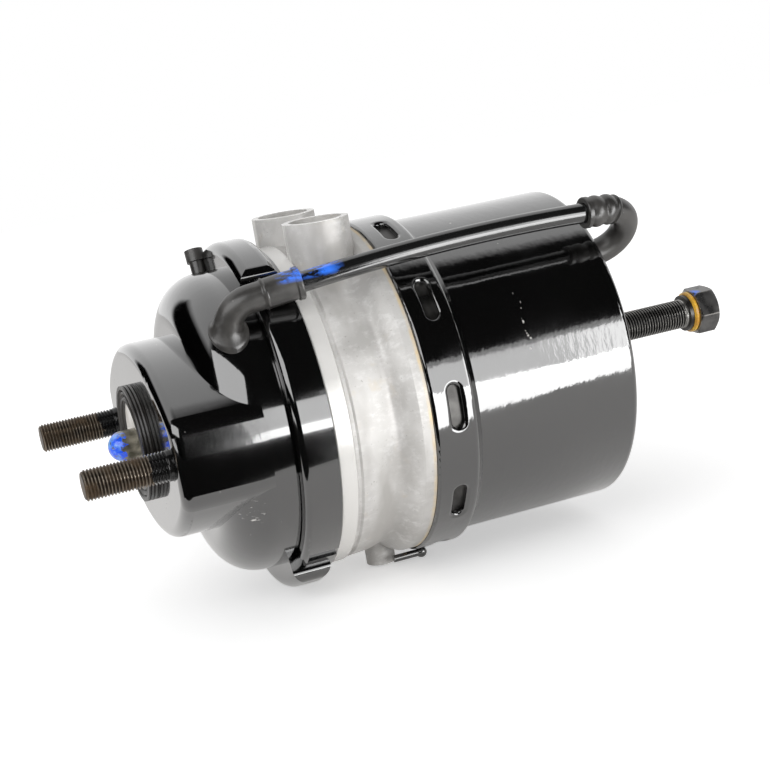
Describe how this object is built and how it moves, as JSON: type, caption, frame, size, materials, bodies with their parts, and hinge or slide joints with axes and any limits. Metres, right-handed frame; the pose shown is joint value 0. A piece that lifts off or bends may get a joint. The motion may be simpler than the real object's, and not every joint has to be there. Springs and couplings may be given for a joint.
{
  "type": "air brake chamber",
  "caption": "Spring brake chamber for a truck disc brake: push rod on the service side, caged power spring and release bolt behind.",
  "frame": {"origin": "centre of the two mounting studs on the mounting face", "axes": "X is the chamber's axis: studs and push rod point to -X, release bolt to +X; air ports face +Z; studs lie on +Y and -Y"},
  "size_m": [0.344, 0.1634, 0.1757],
  "materials": {
    "black_paint": "gloss black paint",
    "cast_aluminium": "satin as-cast",
    "stud_steel": "phosphated thread",
    "rod_steel": "olive plated",
    "bolt_steel": "dark, oiled",
    "spring_steel": "coated spring steel",
    "piston_metal": "die cast",
    "brass": "turned",
    "rubber": "matt",
    "seal_orange": "amber plastic",
    "guide_plastic": "natural",
    "pipe_black": "gloss black",
    "spigot_brass": "zinc plated"
  },
  "bodies": {
    "chamber": {"service_housing": "black_paint", "mounting_studs": "stud_steel", "front_seal_ring": "rubber", "dust_boot": "rubber", "return_spring": "spring_steel", "diaphragm": "rubber", "flange_body": "cast_aluminium", "tube_o_ring": "rubber", "tube_guide_ring": "guide_plastic", "flange_seal": "rubber", "locking_ring": "bolt_steel", "locking_wire": "black_paint", "vent_plug": "bolt_steel", "spring_cylinder": "black_paint", "spring_piston": "piston_metal", "piston_seal": "rubber", "piston_tube": "piston_metal", "tube_nose": "piston_metal", "bolt_retainer": "bolt_steel", "power_spring": "spring_steel", "release_nut": "bolt_steel", "breather_pipe": "pipe_black", "front_elbow": "rubber", "rear_elbow": "rubber", "housing_spigot": "spigot_brass", "cap_spigot": "spigot_brass", "breather_plug": "rubber"},
    "push_rod": {"push_rod": "rod_steel", "push_plate": "rod_steel"},
    "thrust_washer": {"thrust_washer": "brass"},
    "release_bolt": {"release_bolt": "bolt_steel", "head_collar": "bolt_steel", "bolt_seal_ring": "seal_orange"}
  },
  "joints": [
    {"name": "service_stroke", "type": "slide", "parent": "chamber", "child": "push_rod", "axis": [-1, 0, 0], "range_m": [0, 0.057], "deforming": ["return_spring", "diaphragm", "dust_boot"]},
    {"name": "release_travel", "type": "slide", "parent": "chamber", "child": "thrust_washer", "axis": [-1, 0, 0], "range_m": [0, 0.05925]},
    {"name": "release_turn", "type": "hinge", "parent": "thrust_washer", "child": "release_bolt", "pos_m": [0.2, 0, 0], "axis": [-1, 0, 0], "range_deg": [0, 14220]}
  ],
  "couplings": [
    {"joint": "release_turn", "follows": "release_travel", "rad_per_m": 4188.8}
  ]
}
